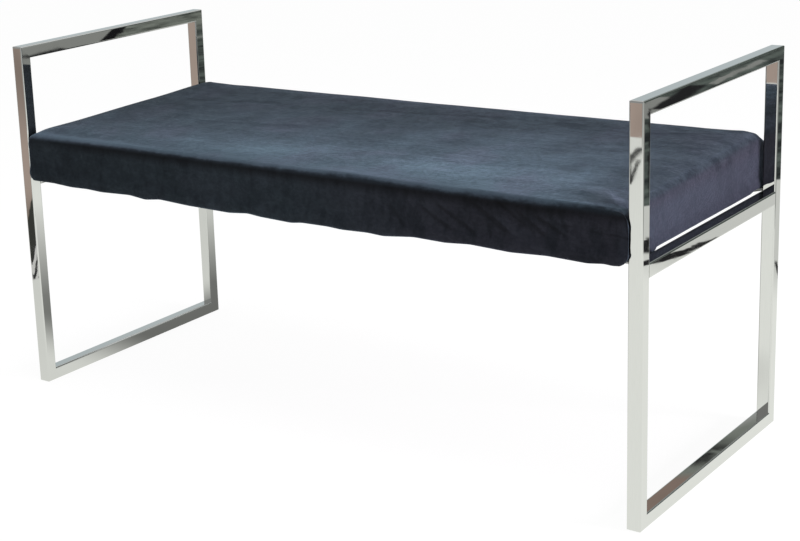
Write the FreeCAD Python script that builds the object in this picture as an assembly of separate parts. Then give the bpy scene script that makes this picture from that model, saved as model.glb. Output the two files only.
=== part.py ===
import FreeCAD, Part
import os

# Hotel luggage bench: a padded velvet seat held between two square-tube side frames.
# Millimetres, +Z up, +X along the seat, front of the bench towards -Y.
# The origin is on the floor under the middle of the bench.

vector = FreeCAD.Vector

# Driving dimensions: the side frames
bench_length = 1200.0        # over the outer faces of the two side frames
frame_depth = 490.0          # over the front and rear faces of the legs
frame_height = 620.0         # floor to the top of the arm rails
tube = 22.0                  # square tube, across its flats
tube_wall = 1.5
tube_corner = 2.5            # outside corner radius of the tube
tube_bore_corner = 1.0
ground_corner = 3.0          # rounding of the ground frame corners
seat_rail_top = 392.0

# Driving dimensions: the seat
seat_top = 472.0
seat_underside = 395.0       # just above the seat rails, which leaves a slit beside the seat
seat_depth = 500.0           # the seat stands 5 mm proud of the legs, front and rear
seat_end_gap = 2.0           # between each end of the seat and the side frame
seat_corner = 12.0           # radius of the upright corners
seat_top_edge = 10.0         # radius round the top edges
lip_drop = 11.5              # how far the front hem hangs below the underside
lip_thickness = 12.0
lip_corner = 12.0            # rounding of the hem's two lower corners
velvet = 1.5                 # cover thickness
cover_return = 60.0          # width of velvet turned in under the seat
wadding = 3.0
foam_thickness = 36.0
foam_top_edge = 16.0         # radius round the foam's top edges, where the wadding is thicker
deck_thickness = 12.0
batten_width = 45.0
strip_thickness = 6.0        # front apron strip
dust_sheet = 0.8
dust_lap = 12.0              # how far the dust cover laps over the velvet

# Driving dimensions: fixings
tab_thickness = 4.0
tab_length = 60.0
tab_width = 32.5
tab_neck = 12.0              # length over which the tab widens from the leg
tab_corner = 4.0
tab_clearance = 0.5          # between the tab and the hem in front of it
bolt_diameter = 6.0
bolt_clearance = 6.6
bolt_head = (10.5, 3.3)      # diameter and height
bolt_head_round = 2.0
bolt_tip = 2.0               # how far the bolt comes through its insert
bolt_relief = 4.0            # how far its hole goes on above the insert
bolt_socket = (4.0, 2.0)     # across flats and depth
washer_size = (12.5, 1.2)
insert_size = (10.0, 13.0)
bolt_steps = (26.0, 48.0)    # from the leg's inner face
screw_diameter = 4.0
screw_head = (8.0, 3.5)
screw_length = 30.0
screws_each_side = 3         # along each long rail, either side of the middle one
screw_end_inset = 72.0       # from the seat frame's end to the last screw in a long rail
staple_crown = 10.0
staple_wire = 0.7
staple_leg = 6.0
staple_pitch = 85.0

# Working allowances
past = 1.0                   # how far a cutter runs past the face it cuts
near = 0.01                  # how close a height has to be to count as equal

# Worked out from the driving dimensions
frame_inside = bench_length / 2 - tube          # X of the side frames' inner faces
leg_back = frame_depth / 2 - tube               # Y of the legs' inner faces
seat_half = frame_inside - seat_end_gap
seat_front = seat_depth / 2
core_skin = velvet + wadding
core_half = seat_half - core_skin
core_front = seat_front - core_skin
batten_bottom = seat_underside + velvet
foam_top = seat_top - core_skin
foam_bottom = foam_top - foam_thickness
deck_bottom = foam_bottom - deck_thickness
lip_bottom = seat_underside - lip_drop
strip_back = core_front - strip_thickness       # distance in front of the middle
tab_outer = seat_front - lip_thickness - tab_clearance
tab_inner = tab_outer - tab_width
bolt_line = tab_outer - tab_width / 2
window_half = seat_half - cover_return          # opening in the cover's underside
window_front = seat_front - cover_return

x_axis = vector(1, 0, 0)
y_axis = vector(0, 1, 0)
z_axis = vector(0, 0, 1)


def block(low, high):
    """A box from its lowest corner to its highest."""
    size = [b - a for a, b in zip(low, high)]
    return Part.makeBox(size[0], size[1], size[2], vector(*low))


def edges_along(shape, axis):
    """The straight edges that run along an axis."""
    found = []
    for edge in shape.Edges:
        if len(edge.Vertexes) != 2:
            continue
        run = edge.Vertexes[1].Point - edge.Vertexes[0].Point
        if run.Length > 0 and abs(run.dot(axis)) > 0.999 * run.Length:
            found.append(edge)
    return found


def prism_x(points, low, high):
    """A prism along X from (y, z) points."""
    corners = [vector(low, y, z) for y, z in points]
    face = Part.Face(Part.makePolygon(corners + corners[:1]))
    return face.extrude(vector(high - low, 0, 0))


def plate_z(points, low, high):
    """A plate from (x, y) points."""
    corners = [vector(x, y, low) for x, y in points]
    face = Part.Face(Part.makePolygon(corners + corners[:1]))
    return face.extrude(vector(0, 0, high - low))


def round_bar(x, y, low, high, diameter):
    """An upright cylinder."""
    return Part.makeCylinder(diameter / 2, high - low, vector(x, y, low), z_axis)


def mirror_x(shape):
    return shape.mirror(vector(0, 0, 0), x_axis)


def mirror_y(shape):
    return shape.mirror(vector(0, 0, 0), y_axis)


# Side frames

def square_tube(low, high, axis):
    """A hollow square tube that fills a box, with rounded long edges."""
    outer = block(low, high)
    outer = outer.makeFillet(tube_corner, edges_along(outer, axis))
    wall = [0 if axis[i] else tube_wall for i in range(3)]
    inner = block([a + w for a, w in zip(low, wall)], [b - w for b, w in zip(high, wall)])
    inner = inner.makeFillet(tube_bore_corner, edges_along(inner, axis))
    return outer.cut(inner)


def side_frame():
    """The five tubes of the right-hand frame, by name."""
    inside, outside = frame_inside, bench_length / 2
    front, back, top = -frame_depth / 2, frame_depth / 2, frame_height
    envelope = block((inside, front, 0), (outside, back, top))
    envelope = envelope.makeFillet(ground_corner, edges_along(envelope, x_axis))

    def mitred(low, high, axis, outline):
        return square_tube(low, high, axis).common(prism_x(outline, inside, outside)).common(envelope)

    front_leg = mitred(
        (inside, front, 0), (outside, front + tube, top), z_axis,
        [(front, 0), (front, top), (front + tube, top - tube), (front + tube, tube)])
    arm_rail = mitred(
        (inside, front, top - tube), (outside, back, top), y_axis,
        [(front, top), (back, top), (back - tube, top - tube), (front + tube, top - tube)])
    floor_rail = mitred(
        (inside, front, 0), (outside, back, tube), y_axis,
        [(front, 0), (back, 0), (back - tube, tube), (front + tube, tube)])
    seat_rail = square_tube(
        (inside, front + tube, seat_rail_top - tube), (outside, back - tube, seat_rail_top), y_axis)
    return {
        "front_leg": front_leg,
        "rear_leg": mirror_y(front_leg),
        "arm_rail": arm_rail,
        "seat_rail": seat_rail,
        "floor_rail": floor_rail,
    }


def bolt_places():
    """Where the seat bolts stand, as (x, y)."""
    return [
        (side * (frame_inside - step), end * bolt_line)
        for side in (-1, 1) for end in (-1, 1) for step in bolt_steps
    ]


def bolt_holes(low, high, diameter):
    """Cutters for the bolt holes between two heights."""
    return Part.makeCompound([round_bar(x, y, low, high, diameter) for x, y in bolt_places()])


def seat_tab():
    """The plate welded to the right front leg: narrow at the leg, wide under the seat."""
    outer, inner = -tab_outer, -tab_inner
    wide = frame_inside - tab_neck
    end = frame_inside - tab_length
    outline = [(frame_inside, outer), (frame_inside, -leg_back), (wide, inner), (end, inner), (end, outer)]
    tab = plate_z(outline, seat_underside - tab_thickness, seat_underside)
    corners = [edge for edge in edges_along(tab, z_axis) if abs(edge.Vertexes[0].X - end) < near]
    tab = tab.makeFillet(tab_corner, corners)
    return tab.cut(bolt_holes(seat_underside - tab_thickness, seat_underside, bolt_clearance))


# Seat

def soft_block(inset, bottom, top, edge):
    """The seat's outline moved in by an inset, with rounded upright corners and top edges."""
    half, front = seat_half - inset, seat_front - inset
    shape = block((-half, -front, bottom), (half, front, top))
    shape = shape.makeFillet(seat_corner - inset, edges_along(shape, z_axis))
    rim = [e for e in shape.Edges if all(abs(v.Z - top) < near for v in e.Vertexes)]
    return shape.makeFillet(edge, rim)


def soft_seat(inset):
    """The whole soft outline: the block and the front hem that hangs below it."""
    half, front = seat_half - inset, seat_front - inset
    edge = seat_top_edge - inset
    body = soft_block(inset, seat_underside + inset, seat_top - inset, edge)
    column = soft_block(inset, lip_bottom + inset, seat_top - inset, edge)
    back = -(seat_front - lip_thickness) - inset
    hem = block((-half, -front, lip_bottom + inset), (half, back, seat_underside + seat_corner))
    lower = [e for e in edges_along(hem, y_axis) if e.Vertexes[0].Z < seat_underside]
    hem = hem.makeFillet(lip_corner - inset, lower).common(column)
    return body.fuse(hem).removeSplitter()


def core_outline():
    """The outline of what lies inside the wadding."""
    return soft_block(core_skin, lip_bottom + core_skin, foam_top, foam_top_edge)


def velvet_cover():
    cover = soft_seat(0).cut(soft_seat(velvet))
    low, high = seat_underside - past, batten_bottom + past
    window = block((-window_half, -window_front, low), (window_half, window_front, high))
    return cover.cut(window).cut(bolt_holes(low, high, bolt_clearance))


def fibre_wadding():
    return soft_seat(velvet).cut(core_outline())


def foam_pad():
    layer = block((-seat_half, -seat_front, foam_bottom), (seat_half, seat_front, foam_top))
    return core_outline().common(layer)


def plywood_deck():
    deck = block((-core_half, -strip_back, deck_bottom), (core_half, core_front, foam_bottom))
    return deck.common(core_outline()).cut(screw_group())


def front_apron_strip():
    low = (-core_half, -core_front, lip_bottom + core_skin)
    strip = block(low, (core_half, -strip_back, foam_bottom))
    lower = [e for e in edges_along(strip, y_axis) if e.Vertexes[0].Z < seat_underside]
    strip = strip.makeFillet(lip_corner - core_skin, lower)
    return strip.common(core_outline())


def batten(low_x, low_y, high_x, high_y):
    """One timber of the seat frame, bored for whatever fixing passes through it."""
    piece = block((low_x, low_y, batten_bottom), (high_x, high_y, deck_bottom)).common(core_outline())
    insert_top = batten_bottom + insert_size[1]
    piece = piece.cut(bolt_holes(batten_bottom, insert_top, insert_size[0]))
    piece = piece.cut(bolt_holes(insert_top, insert_top + bolt_relief, bolt_clearance))
    return piece.cut(screw_group())


def seat_frame():
    """The timbers under the deck, by name."""
    front_in = -(strip_back - batten_width)
    rear_in = core_front - batten_width
    end_in = core_half - batten_width
    half_width = batten_width / 2
    cross_step = end_in / 2
    timbers = {
        "front_frame_rail": batten(-core_half, -strip_back, core_half, front_in),
        "rear_frame_rail": batten(-core_half, rear_in, core_half, core_front),
        "left_end_batten": batten(-core_half, front_in, -end_in, rear_in),
        "right_end_batten": batten(end_in, front_in, core_half, rear_in),
    }
    for name, step in (("left", -1), ("middle", 0), ("right", 1)):
        centre = step * cross_step
        timbers[name + "_cross_batten"] = batten(centre - half_width, front_in, centre + half_width, rear_in)
    blocks = []
    for side in (-1, 1):
        for corner_y, inward in ((front_in, 1), (rear_in, -1)):
            x = side * end_in
            along_x = (x - side * batten_width, corner_y)
            along_y = (x, corner_y + inward * batten_width)
            blocks.append(plate_z([(x, corner_y), along_x, along_y], batten_bottom, deck_bottom))
    timbers["corner_blocks"] = Part.makeCompound(blocks)
    return timbers


def screw_places():
    """Deck screws along the front and rear rails and the end battens."""
    front_line = strip_back - batten_width / 2
    rear_line = core_front - batten_width / 2
    places = []
    for step in range(-screws_each_side, screws_each_side + 1):
        x = step * (core_half - screw_end_inset) / screws_each_side
        places.append((x, -front_line))
        places.append((x, rear_line))
    for side in (-1, 1):
        places.append((side * (core_half - batten_width / 2), -core_front / 4))
        places.append((side * (core_half - batten_width / 2), core_front / 4))
    return places


def screw_group():
    """Countersunk deck screws, heads level with the deck."""
    screws = []
    for x, y in screw_places():
        head = Part.makeCone(
            screw_diameter / 2, screw_head[0] / 2, screw_head[1], vector(x, y, foam_bottom - screw_head[1]))
        shank = round_bar(x, y, foam_bottom - screw_length, foam_bottom - screw_head[1], screw_diameter)
        screws.append(head.fuse(shank).removeSplitter())
    return Part.makeCompound(screws)


def dust_cover():
    half = window_half + dust_lap
    front = window_front + dust_lap
    return block((-half, -front, seat_underside - dust_sheet), (half, front, seat_underside))


# Fixings

def seat_bolts():
    """Button-head bolts that come up through the tabs."""
    head_top = seat_underside - tab_thickness - washer_size[1]
    bolts = []
    for x, y in bolt_places():
        head = round_bar(x, y, head_top - bolt_head[1], head_top, bolt_head[0])
        rim = [e for e in head.Edges if all(abs(v.Z - head_top + bolt_head[1]) < near for v in e.Vertexes)]
        head = head.makeFillet(bolt_head_round, rim)
        socket = hexagon(x, y, head_top - bolt_head[1], bolt_socket[0], bolt_socket[1])
        shank = round_bar(x, y, head_top, batten_bottom + insert_size[1] + bolt_tip, bolt_diameter)
        bolts.append(head.cut(socket).fuse(shank).removeSplitter())
    return Part.makeCompound(bolts)


def hexagon(x, y, low, across_flats, height):
    """A hexagonal prism, for a socket."""
    radius = across_flats / 3 ** 0.5
    turns = [vector(radius, 0, 0)]
    rotation = FreeCAD.Rotation(z_axis, 60)
    for _ in range(5):
        turns.append(rotation.multVec(turns[-1]))
    return plate_z([(x + t.x, y + t.y) for t in turns], low, low + height)


def bolt_washers():
    top = seat_underside - tab_thickness
    low = top - washer_size[1]
    rings = [
        round_bar(x, y, low, top, washer_size[0]).cut(round_bar(x, y, low, top, bolt_clearance))
        for x, y in bolt_places()
    ]
    return Part.makeCompound(rings)


def threaded_inserts():
    top = batten_bottom + insert_size[1]
    sleeves = [
        round_bar(x, y, batten_bottom, top, insert_size[0]).cut(
            round_bar(x, y, batten_bottom, top, bolt_diameter))
        for x, y in bolt_places()
    ]
    return Part.makeCompound(sleeves)


def staple_places():
    """Staples round the edge of the dust cover, as (x, y, whether the crown runs along X)."""
    x_line = window_half + dust_lap / 2
    y_line = window_front + dust_lap / 2
    places = []
    count = int(x_line / staple_pitch)
    for step in range(-count, count + 1):
        for end in (-1, 1):
            places.append((step * staple_pitch, end * y_line, True))
    count = int(y_line / staple_pitch)
    for step in range(-count, count + 1):
        for side in (-1, 1):
            places.append((side * x_line, step * staple_pitch, False))
    return places


def staple(x, y, along_x):
    """A wire staple driven up through the dust cover, the velvet and into the timber."""
    half, wire = staple_crown / 2, staple_wire / 2
    surface = seat_underside - dust_sheet
    top = batten_bottom + staple_leg
    long_way, short_way = (half, wire) if along_x else (wire, half)
    low = (x - long_way, y - short_way, surface - staple_wire)
    shape = block(low, (x + long_way, y + short_way, surface))
    for end in (-1, 1):
        centre = end * (half - wire)
        cx, cy = (x + centre, y) if along_x else (x, y + centre)
        shape = shape.fuse(block((cx - wire, cy - wire, surface), (cx + wire, cy + wire, top)))
    return shape.removeSplitter()


def write(name, shape):
    """Writes one sub-part."""
    solids = shape.Solids
    if not solids:
        raise ValueError(name + " has no solid")
    if len(solids) == 1:
        shape = solids[0]
    shape.exportStep("parts/" + name + ".step")
    print(name, len(solids), round(shape.Volume / 1000, 1), "cm3")


def main():
    os.makedirs("parts", exist_ok=True)

    for name, shape in side_frame().items():
        write("right_" + name, shape)
        write("left_" + name, mirror_x(shape))

    tab = seat_tab()
    write("right_front_seat_tab", tab)
    write("left_front_seat_tab", mirror_x(tab))
    write("right_rear_seat_tab", mirror_y(tab))
    write("left_rear_seat_tab", mirror_x(mirror_y(tab)))

    staples = Part.makeCompound([staple(x, y, along_x) for x, y, along_x in staple_places()])
    write("cover_staples", staples)
    write("dust_cover", dust_cover().cut(staples))
    write("velvet_cover", velvet_cover().cut(staples))
    for name, shape in seat_frame().items():
        write(name, shape.cut(staples))
    write("front_apron_strip", front_apron_strip())
    write("fibre_wadding", fibre_wadding())
    write("foam_pad", foam_pad())
    write("plywood_deck", plywood_deck())

    write("deck_screws", screw_group())
    write("seat_bolts", seat_bolts())
    write("bolt_washers", bolt_washers())
    write("threaded_inserts", threaded_inserts())


main()
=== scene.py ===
import bpy
import math
import numpy as np
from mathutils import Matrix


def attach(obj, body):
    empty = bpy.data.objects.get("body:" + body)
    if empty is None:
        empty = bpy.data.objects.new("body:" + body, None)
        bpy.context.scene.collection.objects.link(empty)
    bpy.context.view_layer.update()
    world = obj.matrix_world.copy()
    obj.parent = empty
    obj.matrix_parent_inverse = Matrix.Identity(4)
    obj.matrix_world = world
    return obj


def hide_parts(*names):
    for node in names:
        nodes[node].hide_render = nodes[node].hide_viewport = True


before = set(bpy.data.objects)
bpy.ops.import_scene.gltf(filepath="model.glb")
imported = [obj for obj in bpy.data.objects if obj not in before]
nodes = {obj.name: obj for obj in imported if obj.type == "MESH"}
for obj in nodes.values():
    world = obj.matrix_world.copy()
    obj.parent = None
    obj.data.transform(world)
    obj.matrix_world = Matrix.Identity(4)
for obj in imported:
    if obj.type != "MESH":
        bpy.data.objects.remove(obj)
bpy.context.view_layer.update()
bpy.context.scene.view_settings.view_transform = "Standard"
print("frame loaded:", len(nodes), "nodes")


# helpers

def clearSelection():
    if bpy.context.object and bpy.context.object.mode != "OBJECT":
        bpy.ops.object.mode_set(mode="OBJECT")
    bpy.ops.object.select_all(action="DESELECT")


def makeActive(piece):
    clearSelection()
    piece.select_set(True)
    bpy.context.view_layer.objects.active = piece


def readPoints(piece):
    flat = np.empty(len(piece.data.vertices) * 3)
    piece.data.vertices.foreach_get("co", flat)
    return flat.reshape(-1, 3)


def writePoints(piece, points):
    piece.data.vertices.foreach_set("co", np.ascontiguousarray(points).ravel())
    piece.data.update()


def readCentres(piece):  # the middle of each face
    flat = np.empty(len(piece.data.polygons) * 3)
    piece.data.polygons.foreach_get("center", flat)
    return flat.reshape(-1, 3)


def pickFaces(piece, wanted):  # leaves the piece in edit mode with just these faces selected
    bpy.ops.object.mode_set(mode="EDIT")
    bpy.ops.mesh.select_mode(type="FACE")
    bpy.ops.mesh.select_all(action="DESELECT")
    bpy.ops.object.mode_set(mode="OBJECT")
    piece.data.polygons.foreach_set("select", wanted)
    bpy.ops.object.mode_set(mode="EDIT")


def smoothStep(low, high, value):
    t = np.clip((value - low) / (high - low), 0, 1)
    return t * t * (3 - 2 * t)


def bell(distance, width):
    return np.exp(-(distance / width) ** 2)


def ripple(points, size, seed, octaves=3):  # smooth seeded waves over x, y, z in about -1 to 1
    dice = np.random.default_rng(seed)
    total = np.zeros(len(points))
    for octave in range(octaves):
        for wave in range(6):
            direction = dice.normal(size=3)
            direction /= np.linalg.norm(direction)
            turn = dice.uniform(0, 2 * math.pi)
            pitch = size / 2 ** octave * dice.uniform(0.7, 1.4)
            total += np.sin(points @ direction * 2 * math.pi / pitch + turn) / 2 ** octave
    return total / 6


# camera

camera = {
    "place": (1.5581, -2.2432, 1.0589),
    "turn": (75.7229, 2.6033, 37.6152),
    "lens": 75.176,
    "sensor": 36,
    "shiftX": 0.15,
    "shiftY": -0.088,
}


def makeCamera():
    bpy.ops.object.camera_add(location=camera["place"])
    view = bpy.context.object
    view.name = "benchCamera"
    view.rotation_euler = [math.radians(angle) for angle in camera["turn"]]
    view.data.lens = camera["lens"]
    view.data.sensor_width = camera["sensor"]
    view.data.shift_x = camera["shiftX"]
    view.data.shift_y = camera["shiftY"]
    bpy.context.scene.camera = view


clearSelection()
makeCamera()
print("camera set")


# shader helpers

class Signal:  # a number in a shader tree, for sums written with + - * and **
    def __init__(self, tree, socket):
        self.tree, self.socket = tree, socket

    def __add__(self, other):
        return addMath(self.tree, "ADD", self, other)

    def __sub__(self, other):
        return addMath(self.tree, "SUBTRACT", self, other)

    def __rsub__(self, other):
        return addMath(self.tree, "SUBTRACT", other, self)

    def __mul__(self, other):
        return addMath(self.tree, "MULTIPLY", self, other)

    def __pow__(self, power):
        return addMath(self.tree, "POWER", self, power)

    def __abs__(self):
        return addMath(self.tree, "ABSOLUTE", self)

    def atLeast(self, other):
        return addMath(self.tree, "MAXIMUM", self, other)

    def atMost(self, other):
        return addMath(self.tree, "MINIMUM", self, other)

    def fade(self, low, high, newLow=0.0, newHigh=1.0, soft=True):
        node = addNode(self.tree, "MapRange", self, low, high, newLow, newHigh)
        node.interpolation_type = "SMOOTHSTEP" if soft else "LINEAR"
        return Signal(self.tree, node.outputs["Result"])


def feed(tree, value, socket):  # links an output to the socket, or gives it a plain number or colour
    if isinstance(value, Signal):
        value = value.socket
    if isinstance(value, bpy.types.NodeSocket):
        tree.links.new(value, socket)
    elif socket.type == "RGBA":
        socket.default_value = (*value, 1)
    else:
        socket.default_value = value


def setSockets(tree, node, **sockets):  # a space in a socket's name is written _
    for name, value in sockets.items():
        feed(tree, value, node.inputs[name.replace("_", " ")])
    return node


def addNode(tree, kind, *inOrder, **sockets):
    node = tree.nodes.new("ShaderNode" + kind)
    for socket, value in zip(node.inputs, inOrder):
        feed(tree, value, socket)
    return setSockets(tree, node, **sockets)


def addMath(tree, operation, *terms):
    node = addNode(tree, "Math", *terms)
    node.operation = operation
    return Signal(tree, node.outputs[0])


def addMix(tree, factor, first, second):  # colours
    node = tree.nodes.new("ShaderNodeMix")
    node.data_type = "RGBA"
    for place, value in ((0, factor), (6, first), (7, second)):
        feed(tree, value, node.inputs[place])
    return node.outputs[2]


def addMapping(tree, vector, scale=(1, 1, 1), turn=(0, 0, 0)):
    return addNode(tree, "Mapping", vector, Scale=scale, Rotation=turn).outputs["Vector"]


def addNoise(tree, vector, scale, detail=2.0, roughness=0.5):
    node = addNode(tree, "TexNoise", vector, Scale=scale, Detail=detail, Roughness=roughness)
    return Signal(tree, node.outputs["Fac"])


def addPattern(tree, vector, stretch, turn, *texture):  # noise on a stretched and turned vector
    return addNoise(tree, addMapping(tree, vector, stretch, turn), *texture)


def splitVector(tree, vector):
    return [Signal(tree, part) for part in addNode(tree, "SeparateXYZ", vector).outputs]


def readLayer(tree, name):  # a value kept on the mesh's points
    node = addNode(tree, "Attribute")
    node.attribute_name = name
    return Signal(tree, node.outputs["Fac"])


def blendShaders(tree, factor, first, second):
    return addNode(tree, "MixShader", factor, first, second).outputs[0]


def addGlow(tree, colour, strength=1.0):
    return addNode(tree, "Emission", Color=colour, Strength=strength).outputs[0]


# studio: floor, room and lamps

studio = {
    "floorSize": 60.0,
    "floorDrop": 0.0004,
    "floorColour": (0.80, 0.80, 0.79),
    "floorWhite": 0.82,              # share of plain white that the eye sees in the floor
    "floorGlow": 1.13,
    "sweep": (-1.075, -2.58),        # left and near edge of the white floor that polished metal shows
    "sweepBack": -0.6,               # the left edge begins here
    "sweepBlur": 0.006,
    "sweepColour": (0.985, 1.0, 0.955),
    "shade": 0.68,                   # how much of the light is lost under the seat
    "shadeBack": (-0.16, 0.06),      # where the shade sets in, by y, by x + y and by x at its two ends
    "shadeAcross": (1.15, -0.05),
    "shadeRight": (0.62, 0.35),
    "shadeLeft": (-0.75, -0.58),
    "leftDim": (0.3, -1.0, 0.0, 0.16),   # duller light to the left: from, to, least and most lost
    "farDim": (0.80, 1.10, 0.0, 0.27),   # and to the back
    "diffuseStrength": 0.42,
    "softLight": ((0.80, 0.81, 0.84), (1.0, 1.0, 1.0)),    # on cloth, from the front and from elsewhere
    "softTurn": (-0.7, 0.3),
}

ground = {  # what lies past the white floor, each line as (a, b, c) for a x + b y + c
    "edge": (0.912, 0.410, -1.832),        # white floor on its low side
    "edgeBlur": (-0.008, 0.012),
    "path": (0.9150, -0.4033, -0.7052),    # pale path on the high side of these two, planting on the other
    "bend": (0.9706, -0.2413, -1.2117),
    "step": (-1.65, 1.0, 0.856),           # the path ends at a dark step, with thinner planting behind it
    "stepDepth": 0.088,
    "stepEnd": (0.0, 0.05),
    "blur": 0.008,
    "wobble": (9.0, 3.0, 0.6),             # unevenness: scale, detail, roughness
    "ragged": 0.10,                        # how uneven the edges are
    "raggedEdge": 0.04,
    "leafSpots": ((30, 6, 1), (0, 0, 0), 1.0, 4.0, 0.65),    # stretch, turn, scale, detail, roughness
    "rows": ((16, 0.5, 1), (0, 0, 0), 1.0, 2.0, 0.5),
    "leafMix": (0.6, 0.55),
    "leafy": (0.46, 0.72),
    "thin": (0.42, 0.66),
    "thinFrom": (2.0, 2.1),
    "pale": (0.395, 0.405, 0.385),
    "stepColour": (0.016, 0.016, 0.018),
    "planting": ((0.030, 0.034, 0.036), (0.180, 0.215, 0.195)),
    "sparse": ((0.055, 0.062, 0.056), (0.330, 0.360, 0.320)),
    "trackCore": 0.6,                      # share of a thing's width that is fully dark or pale
    "trackEnd": 0.03,
}

clutter = (  # dark things lying about: from, to, half width, how wavy
    ((-0.478, -2.480), (-0.408, -2.256), 0.0100, 0.0),
    ((-0.470, -2.400), (-0.304, -2.060), 0.0052, 0.0),
    ((-0.419, -2.345), (-0.312, -2.080), 0.0048, 0.0),
    ((1.178, 0.92), (1.106, 1.24), 0.0150, 0.012),
    ((1.160, 0.96), (1.120, 1.10), 0.0080, 0.008),
    ((1.265, 1.16), (1.195, 1.02), 0.016, 0.02),
    ((1.400, 1.463), (1.90, 2.505), 0.0055, 0.004),
    ((0.872, 0.96), (0.945, 1.12), 0.0030, 0.003),
    ((0.90, 0.30), (1.10, 0.62), 0.004, 0.01),
    ((2.216, 2.370), (2.240, 2.670), 0.054, 0.003),
    ((1.850, 2.470), (1.910, 2.900), 0.042, 0.006),
)
clutterColour = (0.03, 0.03, 0.032)

paving = (  # pale pieces in the planting: from, to, half width, how wavy
    ((1.830, 2.330), (1.945, 2.690), 0.050, 0.006),
    ((1.868, 2.900), (1.905, 3.450), 0.016, 0.008),
    ((1.560, 2.230), (1.640, 2.420), 0.030, 0.006),
)

past = {  # a white strip past the left edge with slanting black pieces, then a dark one
    "along": (0.74, 0.67),       # direction of the line that the pieces lie on
    "middle": 0.195,             # the line's place, measured across it
    "halfWidth": 0.011,          # the pieces fade from here
    "gone": 0.020,               # to here
    "slant": 9.0,
    "pitch": 0.105,
    "turn": 0.9,
    "ragged": 0.10,
    "white": 0.215,              # how far out the white ends, and the dark
    "dark": 0.46,
    "whiteColour": (0.72, 0.72, 0.70),
    "pieceColour": (0.040, 0.040, 0.042),
    "darkColour": (0.052, 0.054, 0.047),
}


def addTrack(px, py, wobble, start, stop, halfWidth, wavy):  # mask of a straight thing on the floor
    run = math.dist(start, stop)
    ux, uy = (stop[0] - start[0]) / run, (stop[1] - start[1]) / run
    along = px * ux + py * uy - (start[0] * ux + start[1] * uy)
    across = py * ux - px * uy + (start[0] * uy - start[1] * ux) + wobble * (wavy * 4)
    end, core = ground["trackEnd"], halfWidth * ground["trackCore"]
    return abs(across).fade(halfWidth, core) * along.fade(0.0, end) * along.fade(run, run - end)


def addTracks(px, py, wobble, tracks):  # one mask for several things
    mask, *others = (addTrack(px, py, wobble, *track) for track in tracks)
    for other in others:
        mask = mask.atLeast(other)
    return mask


def floorLight(px, py):  # shade under the left of the seat, and duller light to the left and the back
    shade = py.fade(*studio["shadeBack"]) * (px + py).fade(*studio["shadeAcross"], soft=False)
    shade = shade * px.fade(*studio["shadeRight"]) * px.fade(*studio["shadeLeft"])
    return 1.0 - shade * studio["shade"] - px.fade(*studio["leftDim"]) - py.fade(*studio["farDim"])


def outdoorColour(tree, place, px, py, wobble):  # a pale path, a step and planting
    edge, walk, bend, step = (px * ground[name][0] + py * ground[name][1] + ground[name][2]
                              for name in ("edge", "path", "bend", "step"))
    walk = walk.atMost(bend)
    ragged = wobble * ground["ragged"]
    spots, rows = (addPattern(tree, place, *ground[name]) for name in ("leafSpots", "rows"))
    leafy = spots * ground["leafMix"][0] + rows * ground["leafMix"][1]
    blur, depth = ground["blur"], ground["stepDepth"]
    thin = addMix(tree, leafy.fade(*ground["thin"]), *ground["sparse"])
    planting = addMix(tree, leafy.fade(*ground["leafy"]), *ground["planting"])
    planting = addMix(tree, step.fade(0.0, 0.01) * px.fade(*ground["thinFrom"]), planting, thin)
    planting = addMix(tree, addTracks(px, py, wobble, paving), planting, ground["pale"])
    onPath = (walk + ragged).fade(-blur, blur) * step.fade(blur, -blur)
    inStep = step.fade(-blur, blur) * (step + ragged).fade(depth + 0.02, depth)
    outdoors = addMix(tree, onPath, planting, ground["pale"])
    outdoors = addMix(tree, inStep * walk.fade(*ground["stepEnd"]), outdoors, ground["stepColour"])
    beyondEdge = (edge + wobble * ground["raggedEdge"]).fade(*ground["edgeBlur"])
    return addMix(tree, beyondEdge, studio["sweepColour"], outdoors)


def pastColour(tree, px, py, pastLeft, wobble):  # the colour past the left edge, and how far out it is
    ax, ay = past["along"]
    aside = py * ax - px * ay - past["middle"]
    inReach = abs(aside).fade(past["gone"], past["halfWidth"])
    out = pastLeft + wobble * past["ragged"] + aside * inReach * past["slant"]
    bands = addMath(tree, "SINE", out * (2 * math.pi / past["pitch"]) + past["turn"])
    pieces = bands.fade(0.0, 0.3) * pastLeft.fade(0.0, 0.012) * inReach
    strip = addMix(tree, pieces, past["whiteColour"], past["pieceColour"])
    return addMix(tree, out.fade(past["white"], past["white"] + 0.01), strip, past["darkColour"]), out


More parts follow.
